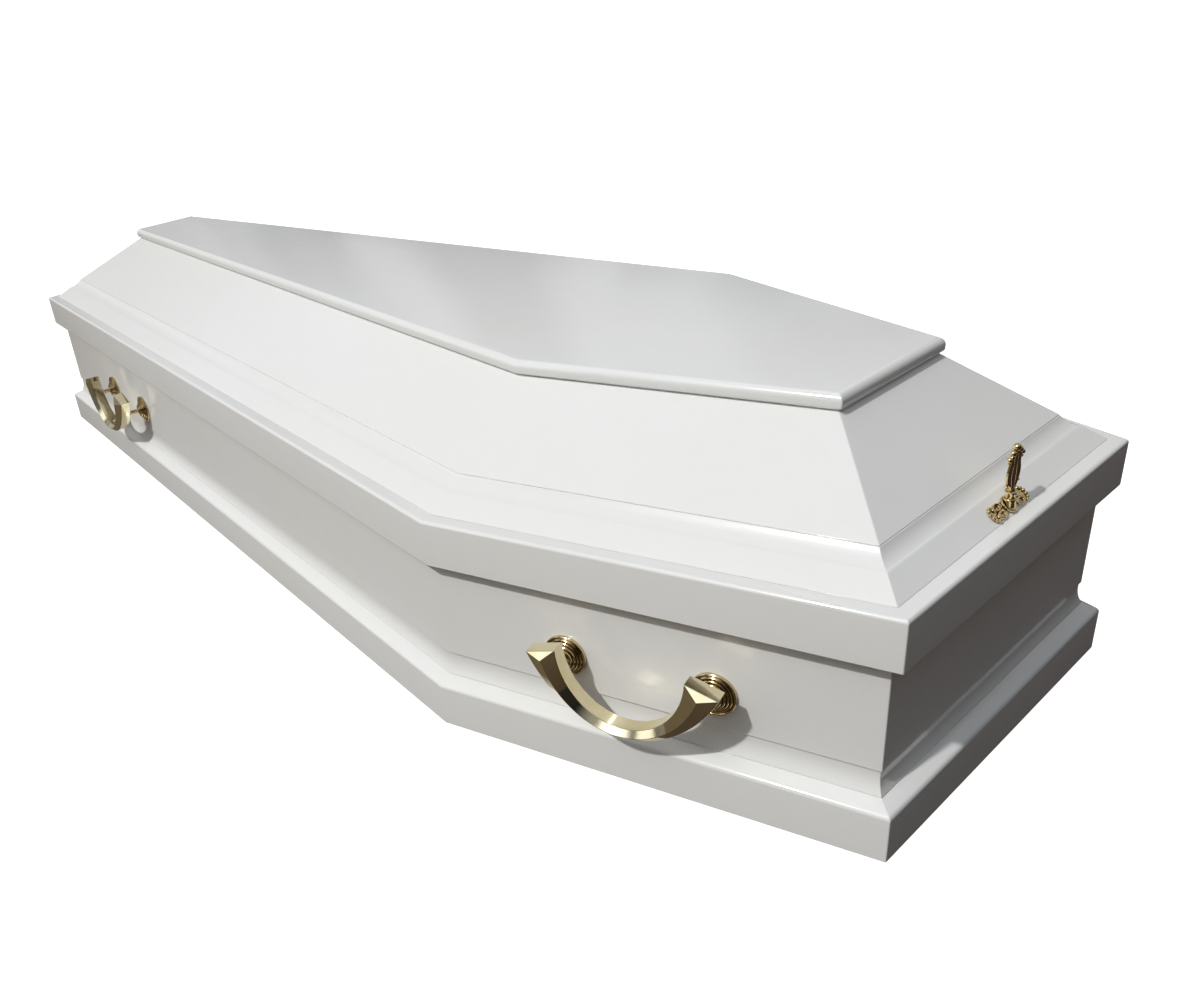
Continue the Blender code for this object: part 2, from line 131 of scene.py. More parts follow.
# Leaf-shaped rings round the holes, as shares of the hole's place and size, and the boss ring
LEAF_OFFSET = 1.12
LEAF_WIDTH = 1.45
LEAF_STRETCH = 1.9
PLATE_RING_THICKNESS = 0.0013
BOSS_RADIUS = 0.0084
BOSS_LIFT = 1.1
PLATE_BEAD_LIFT = 0.9
PLATE_BEAD_FLATTEN = 0.95
SCREW_SET_IN = 0.0072
SCREW_HEIGHT = 0.067
SCREW_HALF_WIDTH = 0.0140
SCREW_THICKNESS = 0.0046
COLLAR_HEIGHT = 0.0225
CROWN_RADIUS = 0.0042
# Wing: half widths up its height, as shares of its own size
WING_OUTLINE = [(0.26, 0.30), (0.32, 0.36), (0.50, 0.42), (0.68, 0.46), (0.83, 0.50), (0.95, 0.55),
                (1.0, 0.60), (1.0, 0.65), (0.94, 0.71), (0.82, 0.77), (0.72, 0.82), (0.80, 0.86),
                (0.88, 0.90), (0.60, 0.97), (0.25, 1.0)]
WING_RIBS = 3
WING_WEB = 0.42
WING_STEPS = 15
WING_LEVELS = 44
# Collar: radius, height from its top, and the swell where it is a bead, then its base
COLLAR_SHAPE = [(0.0, 0.0060, 0.0), (0.0030, 0.0055, 0.0), (0.0030, 0.0005, 0.0),
                (0.0045, -0.0006, 0.0014), (0.0044, -0.0030, 0.0), (0.0048, -0.0060, 0.0),
                (0.0053, -0.0078, 0.0010), (0.0058, -0.0100, 0.0), (0.0064, -0.0150, 0.0)]
COLLAR_BASE = (0.0066, -0.004)
COLLAR_STEPS = 40
# Balls on the wing: across, up and radius, as shares of its half width, height and largest ball
CROWN_BALLS = [(0.0, 1.045, 0.95), (0.50, 0.975, 0.8), (-0.50, 0.975, 0.8), (0.96, 0.905, 0.68),
               (-0.96, 0.905, 0.68), (0.92, 0.845, 0.42), (-0.92, 0.845, 0.42), (0.86, 0.465, 0.42),
               (-0.86, 0.465, 0.42), (0.0, 0.36, 0.9)]

# Camera: place, the direction it looks in, roll, lens and the photo's frame
PHOTO_WIDTH = 1178
PHOTO_HEIGHT = 981
CAMERA_PLACE = Vector((1.3323, -0.9844, 0.8090))
CAMERA_AZIMUTH = math.radians(51.850)
CAMERA_ELEVATION = math.radians(27.336)
CAMERA_ROLL = math.radians(-6.799)
FOCAL_PIXELS = 1061.2
CENTRE_X = 460.13
CENTRE_Y = 519.44
SENSOR_WIDTH = 36.0

# Light
SUN_TOWARDS = Vector((-0.062, -0.652, 0.756))
SUN_STRENGTH = 1.93
SUN_ANGLE = math.radians(2.0)
SUN_COLOUR = (1.0, 0.985, 0.955)
SKY_COLOUR = (0.35, 0.365, 0.392, 1.0)
SKY_RISE = (0.35, 0.75)
# Glow round the sun: from and to these angles off it, and how bright
GLOW_ANGLES = (math.radians(24), math.radians(6))
GLOW_COLOUR = (1.75, 1.83, 1.95, 1.0)
# Two bright clouds: where they are, how wide from edge to core, and how bright
CLOUDS = [(0.219, -0.793, 0.568), (-0.604, -0.705, 0.374)]
CLOUD_ANGLES = (math.radians(15), math.radians(7))
CLOUD_COLOUR = (1.25, 1.26, 1.30, 1.0)
# The low belt and the ground are each brighter on one side, and darker opposite
BELT_SIDE = (-0.8, 0.6, 0.0)
BELT_LEVELS = (0.015, 0.40)
GROUND_SIDE = (-0.8, -0.6, 0.0)
GROUND_DARK = (0.034, 0.023, 0.018, 1.0)
GROUND_BRIGHT = (0.14, 0.115, 0.085, 1.0)

# Floor: flat part and its border, the radius of its turn-up, its own glow and its lamp
FLOOR_FLAT = 14.0
FLOOR_BORDER = 0.5
FLOOR_TURN = 5.0
FLOOR_TURN_STEPS = 24
FLOOR_ROUND_STEPS = 96
FLOOR_GLOW = 0.5
FLOOR_STRENGTH = 2.2

SIDES = ["near_leg", "near_shoulder", "head", "far_shoulder", "far_leg", "foot"]
HEAD = SIDES.index("head")
FOOT = SIDES.index("foot")
HANDLE_SIDES = {"near_foot": 0, "near_head": 1, "far_head": 3, "far_foot": 4}


def low(node):
    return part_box(node)[0]


def high(node):
    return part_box(node)[1]


def corner_plan():
    """The six outer corners of the body, counter-clockwise from the near foot corner."""
    foot = Vector((low("body_board_foot").x, low("body_board_foot").y))
    shoulder = Vector((high("body_board_near_leg").x, low("body_board_near_leg").y))
    head = Vector((high("body_board_head").x, low("body_board_head").y))
    near = [foot, shoulder, head]
    return near + [Vector((corner.x, -corner.y)) for corner in reversed(near)]


CORNERS = corner_plan()
BODY_HEAD = high("body_board_head").x
BODY_FOOT = low("body_board_foot").x


def side_line(side):
    start = CORNERS[side]
    end = CORNERS[(side + 1) % len(SIDES)]
    return start, end, (end - start).normalized()


def inset_corners(insets):
    """Corners of the body's plan with each side moved in by its own distance."""
    lines = []
    for side, inset in enumerate(insets):
        start, _, along = side_line(side)
        lines.append((start + Vector((-along.y, along.x)) * inset, along))
    corners = []
    for side, (point, along) in enumerate(lines):
        before, before_along = lines[side - 1]
        reach = (point - before).cross(along) / before_along.cross(along)
        corners.append(before + before_along * reach)
    return corners


def side_frame(side, distance, height):
    """Frame on the body's face: X along the side, Y up, Z out of it."""
    start, _, along = side_line(side)
    place = start + along * distance
    turn = Matrix.Rotation(math.atan2(along.y, along.x), 4, "Z") @ Matrix.Rotation(math.pi / 2, 4, "X")
    return Matrix.Translation((place.x, place.y, height)) @ turn


# Materials

class Nodes:
    """Short calls for building a node material."""

    def __init__(self, name):
        self.material = bpy.data.materials.new(name)
        self.material.use_nodes = True
        self.tree = self.material.node_tree
        self.shader = self.tree.nodes["Principled BSDF"]

    def add(self, kind, **settings):
        node = self.tree.nodes.new(kind)
        for key, value in settings.items():
            setattr(node, key, value)
        return node

    def link(self, source, target):
        self.tree.links.new(source, target)

    def noise(self, scale, detail=3.0, roughness=0.5, stretch=(1.0, 1.0, 1.0)):
        coordinates = self.add("ShaderNodeTexCoord")
        mapping = self.add("ShaderNodeMapping")
        mapping.inputs["Scale"].default_value = stretch
        texture = self.add("ShaderNodeTexNoise")
        texture.inputs["Scale"].default_value = scale
        texture.inputs["Detail"].default_value = detail
        texture.inputs["Roughness"].default_value = roughness
        self.link(coordinates.outputs["Object"], mapping.inputs["Vector"])
        self.link(mapping.outputs["Vector"], texture.inputs["Vector"])
        return texture.outputs["Fac"]

    def ramp(self, value, stops):
        ramp = self.add("ShaderNodeValToRGB")
        elements = ramp.color_ramp.elements
        while len(elements) < len(stops):
            elements.new(0.5)
        for element, (position, colour) in zip(elements, stops):
            element.position = position
            element.color = (*colour, 1.0)
        self.link(value, ramp.inputs["Fac"])
        return ramp.outputs["Color"]

    def spread(self, value, lowest, highest):
        """Turns a noise value into a number between two limits."""
        span = self.add("ShaderNodeMapRange")
        span.inputs["From Min"].default_value = 0.3
        span.inputs["From Max"].default_value = 0.7
        span.inputs["To Min"].default_value = lowest
        span.inputs["To Max"].default_value = highest
        self.link(value, span.inputs["Value"])
        return span.outputs["Result"]

    def mix(self, factor, first, second, blend="MIX"):
        mixed = self.add("ShaderNodeMix", data_type="RGBA", blend_type=blend)
        for socket, value in (("Factor", factor), ("A", first), ("B", second)):
            target = [item for item in mixed.inputs if item.name == socket and item.enabled][0]
            if hasattr(value, "is_linked"):
                self.link(value, target)
            else:
                target.default_value = value
        return [item for item in mixed.outputs if item.enabled][0]

    def bump(self, height, strength, distance, normal=None):
        bump = self.add("ShaderNodeBump")
        bump.inputs["Strength"].default_value = strength
        bump.inputs["Distance"].default_value = distance
        self.link(height, bump.inputs["Height"])
        if normal:
            self.link(normal, bump.inputs["Normal"])
        return bump.outputs["Normal"]

    def set(self, **values):
        for key, value in values.items():
            self.shader.inputs[key.replace("_", " ")].default_value = value


def lacquer(name, tone, peel):
    """White gloss lacquer: faint cloudiness, dust haze, orange peel and slow waviness."""
    made = Nodes(name)
    cloud = made.noise(2.3, 4.0)
    warm = tuple(value * share for value, share in zip(tone, (0.985, 0.98, 0.955)))
    colour = made.ramp(cloud, [(0.35, tone), (0.75, warm)])
    haze = made.noise(38.0, 6.0, 0.65)
    colour = made.mix(made.spread(haze, 0.0, 0.05), colour, (0.62, 0.61, 0.58, 1.0))
    made.link(colour, made.shader.inputs["Base Color"])
    made.link(made.spread(made.noise(55.0, 5.0, 0.6), 0.09, 0.17), made.shader.inputs["Roughness"])
    waves = made.bump(made.noise(7.0, 2.0), 0.10, 0.004)
    made.link(made.bump(made.noise(420.0, 2.0), peel, 0.0004, waves), made.shader.inputs["Normal"])
    made.set(IOR=1.5, Coat_Weight=0.5, Coat_Roughness=0.04)
    return made.material


def brass(name, bright, dull, roughness, grain):
    """Lacquered yellow brass: cloudy tone, fine handling marks, and painted shade that darkens it where it is
    cupped.
    """
    made = Nodes(name)
    tone = made.ramp(made.noise(60.0, 5.0, 0.6), [(0.35, bright), (0.72, dull)])
    # Painted shade: ambient occlusion darkens the base colour in hollows, holes and recesses
    painted_shade_occlusion = made.add("ShaderNodeAmbientOcclusion", samples=6)
    painted_shade_occlusion.inputs["Distance"].default_value = 0.004
    shade = made.ramp(painted_shade_occlusion.outputs["AO"], [(0.25, (0.16, 0.10, 0.05)), (0.70, (1.0, 1.0, 1.0))])
    colour = made.mix(1.0, tone, shade, "MULTIPLY")
    made.link(colour, made.shader.inputs["Base Color"])
    marks = made.noise(900.0, 3.0, 0.6, (1.0, 0.25, 1.0))
    made.link(made.spread(marks, roughness * 0.7, roughness * 1.5), made.shader.inputs["Roughness"])
    made.link(made.bump(made.noise(grain, 3.0), 0.12, 0.0003), made.shader.inputs["Normal"])
    made.set(Metallic=1.0, Coat_Weight=0.3, Coat_Roughness=0.05)
    return made.material


WHITE = lacquer("white_lacquer", (0.86, 0.865, 0.855), 0.05)
UNDERSIDE = lacquer("bottom_paint", (0.72, 0.71, 0.68), 0.25)
BAIL_BRASS = brass("bail_brass", (0.90, 0.81, 0.56), (0.82, 0.71, 0.44), 0.05, 240.0)
ROSETTE_BRASS = brass("rosette_brass", (0.72, 0.58, 0.32), (0.52, 0.39, 0.19), 0.09, 380.0)
SCREW_BRASS = brass("screw_brass", (0.95, 0.78, 0.42), (0.78, 0.57, 0.27), 0.10, 520.0)


# Building pieces

def piece(name, bm, finish, replaced, place=None, soft=0.0, sharp=25.0):
    """Turns a bmesh into a visible piece that rides on the coffin and stands for CAD nodes."""
    bmesh.ops.recalc_face_normals(bm, faces=bm.faces[:])
    mesh = bpy.data.meshes.new(name)
    bm.to_mesh(mesh)
    bm.free()
    mesh.shade_smooth()
    mesh.set_sharp_from_angle(angle=math.radians(180 if soft else sharp))
    mesh.materials.append(finish)
    made = bpy.data.objects.new(name, mesh)
    bpy.context.scene.collection.objects.link(made)
    if place:
        made.matrix_world = place
    if soft:
        edge = made.modifiers.new("soft edges", "BEVEL")
        edge.width = soft
        edge.segments = SOFT_STEPS
        edge.limit_method = "ANGLE"
        edge.angle_limit = math.radians(sharp)
        edge.harden_normals = True
    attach(made, "root")
    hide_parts(*replaced)
    return made


def all_sides(prefix):
    return [prefix + side for side in SIDES]


def rounded(before, corner, after, radius, steps=ARC_STEPS):
    """The points of an arc that rounds a corner of an outline."""
    corner = Vector(corner)
    back = (Vector(before) - corner).normalized()
    on = (Vector(after) - corner).normalized()
    half_angle = back.angle(on) / 2
    centre = corner + (back + on).normalized() * radius / math.sin(half_angle)
    start = corner + back * radius / math.tan(half_angle) - centre
    turn = start.angle_signed(corner + on * radius / math.tan(half_angle) - centre)
    return [centre + Matrix.Rotation(-turn * step / steps, 2) @ start for step in range(steps + 1)]


def ring(loops):
    """Joins closed loops of corner points, each at its own height, into a closed ring."""
    bm = bmesh.new()
    rows = [[bm.verts.new((*corner, height)) for corner in corners] for corners, height in loops]
    for row, following in zip(rows, rows[1:] + rows[:1]):
        for corner in range(len(row)):
            after = (corner + 1) % len(row)
            bm.faces.new([row[corner], row[after], following[after], following[corner]])
    return bm


def moulding(profile):
    """A ring of one profile, given as (distance outside the body's face, height)."""
    return ring([(inset_corners([-out] * len(SIDES)), height) for out, height in profile])


# Lacquered woodwork

def plinth():
    top = high("plinth_head").z
    out = high("plinth_head").x - BODY_HEAD
    ledge_end = (BASE_COVE_PROJECTION, top)
    edge = rounded((out, 0.0), (out, top - PLINTH_LEDGE_RISE), ledge_end, PLINTH_EDGE_RADIUS)
    profile = [(-BOARD_THICKNESS, 0.0), (out, 0.0), *edge, ledge_end, (-BOARD_THICKNESS, top)]
    piece("plinth_moulding", moulding(profile), WHITE, all_sides("plinth_"),
          soft=SOFT_EDGE)


def base_cove():
    bottom = low("base_cove_head").z
    top = high("base_cove_head").z
    lip = bottom + BASE_COVE_LIP
    rise = top - BASE_COVE_FLAT - lip
    run = BASE_COVE_PROJECTION + BASE_COVE_RECESS
    radius = (run ** 2 + rise ** 2) / (2 * run)
    sweep = math.asin(rise / radius)
    cove = []
    for step in range(ARC_STEPS + 1):
        angle = math.pi + sweep * (1 - step / ARC_STEPS)
        cove.append((radius - BASE_COVE_RECESS + radius * math.cos(angle),
                     lip + rise + radius * math.sin(angle)))
    profile = [(-BOARD_THICKNESS, bottom), (BASE_COVE_PROJECTION, bottom), *cove,
               (-BASE_COVE_RECESS, top), (-BOARD_THICKNESS, top)]
    piece("base_cove_moulding", moulding(profile), WHITE, all_sides("base_cove_"),
          soft=SOFT_EDGE / 2)


def body_walls():
    bottom = low("body_board_head").z
    top = high("body_board_head").z
    profile = [(-BOARD_THICKNESS, bottom), (0.0, bottom), (0.0, top), (-BOARD_THICKNESS, top)]
    piece("body_walls", moulding(profile), WHITE, all_sides("body_board_"),
          soft=SOFT_EDGE)


def lid_rim():
    bottom = low("lid_rim_head").z
    top = high("lid_rim_head").z
    out = high("lid_rim_head").x - BODY_HEAD
    edge = rounded((out, bottom), (out, top), (-BOARD_THICKNESS, top), RIM_EDGE_RADIUS)
    profile = [(-BOARD_THICKNESS, bottom), (out, bottom), *edge, (-BOARD_THICKNESS, top)]
    piece("lid_rim_moulding", moulding(profile), WHITE, all_sides("lid_rim_"),
          soft=SOFT_EDGE)


def slope_set_in(share):
    """How far the slope starts inside the body's face: less at the ends than along the sides."""
    near = SIDES.index("near_leg")
    shift = inset_corners([1.0] * len(SIDES))[near + 1].y - CORNERS[near + 1].y
    return share * (low("lid_slope_near_leg").y - CORNERS[near + 1].y) / shift


END_SHARE = (BODY_HEAD - high("lid_slope_head").x) / slope_set_in(1.0)
LID_SHARES = [END_SHARE if side in (HEAD, FOOT) else 1.0 for side in range(len(SIDES))]


def lid_cove():
    """A sloping ledge, and a cove that steepens from it up to the slope."""
    bottom = low("lid_cove_head").z
    top = high("lid_cove_head").z
    crease = (LEDGE_SET_IN + LEDGE_RUN, bottom + LEDGE_RISE)
    run = slope_set_in(1.0) - crease[0]
    start_tilt = 2 * math.atan2(top - crease[1], run) - COVE_END_TILT
    radius = run / (math.sin(COVE_END_TILT) - math.sin(start_tilt))
    cove = []
    for step in range(1, ARC_STEPS + 1):
        tilt = start_tilt + (COVE_END_TILT - start_tilt) * step / ARC_STEPS
        cove.append((crease[0] + radius * (math.sin(tilt) - math.sin(start_tilt)),
                     crease[1] + radius * (math.cos(start_tilt) - math.cos(tilt))))
    valley = (LEDGE_SET_IN, bottom)
    set_in = [valley, *rounded(valley, crease, cove[0], CREASE_RADIUS, 4), *cove]
    back = slope_set_in(1.0) + COVE_BACK
    set_in += [(back, top), (back, bottom)]
    loops = [(inset_corners([inwards * share for share in LID_SHARES]), height) for inwards, height in set_in]
    piece("lid_cove_moulding", ring(loops), WHITE, all_sides("lid_cove_"),
          soft=SOFT_EDGE / 2)


def panel_insets():
    """How far the lid panel's edges lie inside the body's faces, by side."""
    panel_low, panel_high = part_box("lid_panel")
    shoulder = SIDES.index("near_shoulder")
    shift = inset_corners([1.0] * len(SIDES))[shoulder].y - CORNERS[shoulder].y
    insets = [(panel_low.y - CORNERS[shoulder].y) / shift] * len(SIDES)
    insets[HEAD] = BODY_HEAD - panel_high.x
    insets[FOOT] = panel_low.x - BODY_FOOT
    return insets


def lid_slopes(insets):
    bottom = low("lid_slope_head").z
    top = high("lid_slope_head").z
    low_insets = [slope_set_in(share) for share in LID_SHARES]
    high_insets = [inset + PANEL_OVERHANG for inset in insets]
    widths = [SLOPE_THICKNESS * math.hypot(b - a, top - bottom) / (top - bottom)
              for a, b in zip(low_insets, high_insets)]
    loops = [(inset_corners(low_insets), bottom), (inset_corners(high_insets), top),
             (inset_corners([a + b for a, b in zip(high_insets, widths)]), top),
             (inset_corners([a + b for a, b in zip(low_insets, widths)]), bottom)]
    piece("lid_slopes", ring(loops), WHITE, all_sides("lid_slope_"),
          soft=SOFT_EDGE)


def lid_panel(insets):
    bottom = low("lid_panel").z
    top = high("lid_panel").z
    out = 0.0
    under = rounded((-1.0, bottom), (out, bottom), (out, top), PANEL_BOTTOM_RADIUS)
    over = rounded((out, bottom), (out, top), (-1.0, top), PANEL_TOP_RADIUS)
    bm = bmesh.new()
    rows = []
    for outwards, height in under + over:
        corners = inset_corners([inset - outwards for inset in insets])
        rows.append([bm.verts.new((*corner, height)) for corner in corners])
    for row, following in zip(rows, rows[1:]):
        for corner in range(len(row)):
            after = (corner + 1) % len(row)
            bm.faces.new([row[corner], row[after], following[after], following[corner]])
    bm.faces.new(rows[0])
    bm.faces.new(rows[-1])
    piece("lid_top_panel", bm, WHITE, ["lid_panel"], soft=SOFT_EDGE)


# Handles

def bail_normal(angle):
    return Vector((math.sin(angle) / BAIL_HALF_SPAN, -math.cos(angle) / BAIL_DROP)).normalized()


def bail_point(angle):
    return Vector((BAIL_HALF_SPAN * math.sin(angle), -BAIL_DROP * math.cos(angle)))


def bail_half_width(angle):
    steps = 24
    turns = [abs(angle) + (BAIL_ARC - abs(angle)) * step / steps for step in range(steps + 1)]
    points = [bail_point(turn) for turn in turns]
    from_end = sum((b - a).length for a, b in zip(points, points[1:]))
    flare = max(0.0, 1 - from_end / BAIL_FLARE) ** 2
    return (BAIL_MID_WIDTH + (BAIL_END_WIDTH - BAIL_MID_WIDTH) * flare) / 2


def bail(name, node, place, lift):
    """A loft of house-shaped sections, hipped at both ends, with crisp polished edges."""
    inner = BAIL_ARC - BAIL_HIP / BAIL_HALF_SPAN
    turns = [-inner + 2 * inner * step / BAIL_STEPS for step in range(BAIL_STEPS + 1)]
    eave = BAIL_STANDOFF + BAIL_EAVE
    bm = bmesh.new()

    def section(turn, ridge):
        middle = bail_point(turn) + Vector((0.0, lift))
        half = bail_half_width(turn)
        shape = [(half, eave), (half, BAIL_STANDOFF), (-half, BAIL_STANDOFF), (-half, eave), *ridge]
        return [bm.verts.new((*(middle + bail_normal(turn) * out), up)) for out, up in shape]

    sections = [section(turn, [(0.0, eave + BAIL_RIDGE)]) for turn in turns]
    for first, second in zip(sections, sections[1:]):
        for corner in range(len(first)):
            following = (corner + 1) % len(first)
            bm.faces.new([first[corner], first[following], second[following], second[corner]])
    for turn, last in ((-BAIL_ARC, sections[0]), (BAIL_ARC, sections[-1])):
        end = section(turn, [])
        for corner in range(3):
            bm.faces.new([last[corner], last[corner + 1], end[corner + 1], end[corner]])
        ridge = last[4]
        for corners in ([last[0], ridge, end[0]], [end[0], ridge, end[3]], [end[3], ridge, last[3]], end):
            bm.faces.new(corners)
    piece(name, bm, BAIL_BRASS, [node], place=place, soft=BAIL_SOFT_EDGE, sharp=18.0)


def turned(profile, steps):
    """A closed solid turned about Z from (radius, height) points that run down its outer side."""
    bm = bmesh.new()
    rows = []
    for radius, height in profile:
        if radius == 0.0:
            rows.append([bm.verts.new((0.0, 0.0, height))])
        else:
            angles = [2 * math.pi * step / steps for step in range(steps)]
            rows.append([bm.verts.new((radius * math.cos(a), radius * math.sin(a), height)) for a in angles])
    for upper, lower in zip(rows, rows[1:]):
        for step in range(steps):
            after = (step + 1) % steps
            corners = [upper[step % len(upper)], upper[after % len(upper)],
                       lower[after % len(lower)], lower[step % len(lower)]]
            bm.faces.new(list(dict.fromkeys(corners)))
    return bm


def bead(radius, height, swell, steps=6):
    """Profile points of a half-round bead on a turned surface, from its outer foot inwards."""
    turns = [math.pi * step / steps for step in range(steps + 1)]
    return [(radius + swell * math.cos(turn), height + swell * math.sin(turn)) for turn in turns]


def rosette(name, node, place):
    """A pressed dish with fine turned rings, and the post that carries the bail."""
    radius = (high(node).z - low(node).z) / 2
    rings = [(0.0, GAP), (radius, GAP), (radius, ROSETTE_EDGE),
             *bead(radius - ROSETTE_RIM_SWELL, ROSETTE_RIM_HEIGHT, ROSETTE_RIM_SWELL)]
    outer = radius - OUTER_RING_INSET
    inner = radius * INNER_RING_SHARE
    lowest, highest = RING_HEIGHTS
    for number in range(ROSETTE_RINGS):
        share = number / (ROSETTE_RINGS - 1)
        height = lowest + (highest - lowest) * share ** DISH_CURVE
        rings += bead(outer + (inner - outer) * share, height, RING_SWELL)
    rings += [(ROSETTE_NECK, ROSETTE_DEPTH), (ROSETTE_NECK * NECK_TOP_SHARE, ROSETTE_DEPTH + NECK_TOP_RISE),
              (POST_RADIUS, ROSETTE_DEPTH + POST_FOOT_RISE), (POST_RADIUS, BAIL_STANDOFF - GAP),
              (0.0, BAIL_STANDOFF - GAP)]
    piece(name, turned(rings[::-1], ROSETTE_STEPS), ROSETTE_BRASS, [node], place=place)


def node_middle(node, frame_matrix):
    """Middle of a node's box, in a side's frame."""
    node_low, node_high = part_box(node)
    return frame_matrix.inverted() @ ((node_low + node_high) / 2)


def handles():
    for end, side in HANDLE_SIDES.items():
        name = "handle_" + end
        base = side_frame(side, 0.0, 0.0)
        left = node_middle(name + "_rosette_left", base)
        right = node_middle(name + "_rosette_right", base)
        centre_x = (left.x + right.x) / 2
        centre_y = (left.y + right.y) / 2
        place = side_frame(side, centre_x, centre_y)
        bail_low = low(name + "_bail").z - centre_y
        lift = bail_low + BAIL_DROP + bail_half_width(0.0)
        bail(end + "_bail", name + "_bail", place, lift)
        for hand, middle in (("left", left), ("right", right)):
            spot = side_frame(side, middle.x, middle.y)
            rosette(end + "_rosette_" + hand, name + "_rosette_" + hand, spot)


# Lid screws

def ledge_tilt():
    return math.atan2(LEDGE_RISE, LEDGE_RUN * END_SHARE)


def ledge_frame(side):
    """On the outer line of an end's ledge: X along the end, Y into the lid and Z up."""
    start, end, along = side_line(side)
    middle = (start + end) / 2 + Vector((-along.y, along.x)) * LEDGE_SET_IN * END_SHARE
    turn = Matrix.Rotation(math.atan2(along.y, along.x), 4, "Z")
    return Matrix.Translation((middle.x, middle.y, low("lid_cove_head").z)) @ turn


def circle(centre, radius, steps):
    turns = [2 * math.pi * step / steps for step in range(steps)]
    return [(centre[0] + radius * math.cos(turn), centre[1] + radius * math.sin(turn)) for turn in turns]


def pierced_slab(bm, outline, holes, bottom, top):
    """A flat slab with holes through it."""
    edges = []
    for loop in [outline] + holes:
        verts = [bm.verts.new((*point, bottom)) for point in loop]
        edges += [bm.edges.new((a, b)) for a, b in zip(verts, verts[1:] + verts[:1])]
    faces = [part for part in bmesh.ops.triangle_fill(bm, edges=edges, use_beauty=True)["geom"]
             if isinstance(part, bmesh.types.BMFace)]
    pushed = bmesh.ops.extrude_face_region(bm, geom=faces, use_keep_orig=True)["geom"]
    verts = [part for part in pushed if isinstance(part, bmesh.types.BMVert)]
    bmesh.ops.translate(bm, verts=verts, vec=(0.0, 0.0, top - bottom))


def ball(bm, place, radius, flatten=1.0):
    shape = Matrix.Translation(place) @ Matrix.Diagonal((1.0, 1.0, flatten, 1.0))
    bmesh.ops.create_uvsphere(bm, u_segments=18, v_segments=12, radius=radius, matrix=shape)


def loop_ring(bm, centre, height, radius, thickness, stretch=1.0, around=40, across=10):
    """A raised ring, like a turned bead, lying flat and perhaps longer along X."""
    middle = Vector((*centre, height))
    rows = []
    for step in range(around):
        turn = 2 * math.pi * step / around
        out = Vector((stretch * math.cos(turn), math.sin(turn), 0.0))
        row = []
        for part in range(across):
            roll = 2 * math.pi * part / across
            point = middle + out * (radius + thickness * math.cos(roll))
            row.append(bm.verts.new((point.x, point.y, point.z + thickness * math.sin(roll))))
        rows.append(row)
    for row, following in zip(rows, rows[1:] + rows[:1]):
        for part in range(across):
            after = (part + 1) % across
            bm.faces.new([row[part], following[part], following[after], row[after]])


def screw_plate(name, node, side):
    """Cast openwork: holes framed by leaf-shaped rings, and beads round both ends."""
    end_radius = PLATE_WIDTH / 2
    spread = math.pi / PLATE_BEADS
    bead_radius = end_radius * math.sin(spread / 2) / (1 + math.sin(spread / 2))
    reach = PLATE_LENGTH / 2 - end_radius
    bead_arc = end_radius - bead_radius
    slab_radius = end_radius - SLAB_INSET * bead_radius
    holes = [(along, up) for along in (-PLATE_HOLE_OFFSET, PLATE_HOLE_OFFSET)
             for up in (-PLATE_HOLE_SPREAD, PLATE_HOLE_SPREAD)]
    outline = []
    for end in (0, 1):
        for step in range(SLAB_END_STEPS + 1):
            turn = math.pi * end - math.pi / 2 + math.pi * step / SLAB_END_STEPS
            along = reach * (1 - 2 * end) + slab_radius * math.cos(turn)
            outline.append((along, slab_radius * math.sin(turn)))
    bm = bmesh.new()
    cuts = [circle(hole, PLATE_HOLE_RADIUS, PLATE_HOLE_STEPS) for hole in holes]
    pierced_slab(bm, outline, cuts, 0.0, PLATE_THICKNESS * SLAB_SHARE)
    for along, up in holes:
        loop_ring(bm, (along * LEAF_OFFSET, up), PLATE_THICKNESS, PLATE_HOLE_RADIUS * LEAF_WIDTH,
                  PLATE_RING_THICKNESS, LEAF_STRETCH)
    loop_ring(bm, (0.0, 0.0), PLATE_THICKNESS * BOSS_LIFT, BOSS_RADIUS, PLATE_RING_THICKNESS)
    for end in (0, 1):
        for number in range(PLATE_BEADS):
            turn = math.pi * end - math.pi / 2 + spread * (number + 0.5)
            ball(bm, (reach * (1 - 2 * end) + bead_arc * math.cos(turn), bead_arc * math.sin(turn),
                      bead_radius * PLATE_BEAD_LIFT), bead_radius, PLATE_BEAD_FLATTEN)
    place = ledge_frame(side) @ Matrix.Rotation(ledge_tilt(), 4, "X") @ Matrix.Translation(
        (0.0, PLATE_SET_IN + PLATE_WIDTH / 2, GAP))
    piece(name, bm, SCREW_BRASS, [node], place=place)


def wing_level(share):
    """Half width of the wing at a height, both as shares."""
    for (narrow, low_share), (wide, high_share) in zip(WING_OUTLINE, WING_OUTLINE[1:]):
        if share <= high_share:
            part = (share - low_share) / (high_share - low_share)
            return narrow + (wide - narrow) * part
    return WING_OUTLINE[-1][0]


def wing(bm):
    """A ribbed leaf that stands on the collar."""
    bottom, top = WING_OUTLINE[0][1], WING_OUTLINE[-1][1]
    rows = []
    for level in range(WING_LEVELS + 1):
        share = bottom + (top - bottom) * level / WING_LEVELS
        half = SCREW_HALF_WIDTH * wing_level(share)
        outline = []
        for step in range(2 * WING_STEPS + 1):
            across = -math.cos(math.pi * step / (2 * WING_STEPS))
            rib = abs(math.sin(WING_RIBS * math.pi * (across + 1) / 2))
            outline.append((half * across, SCREW_THICKNESS / 2 * (WING_WEB + (1 - WING_WEB) * rib)))
        loop = outline + [(across, -out) for across, out in reversed(outline)]
        rows.append([bm.verts.new((across, out, SCREW_HEIGHT * share)) for across, out in loop])
    for row, following in zip(rows, rows[1:]):
        for part in range(len(row)):
            after = (part + 1) % len(row)
            bm.faces.new([row[part], row[after], following[after], following[part]])
    bm.faces.new(rows[0])
    bm.faces.new(rows[-1])


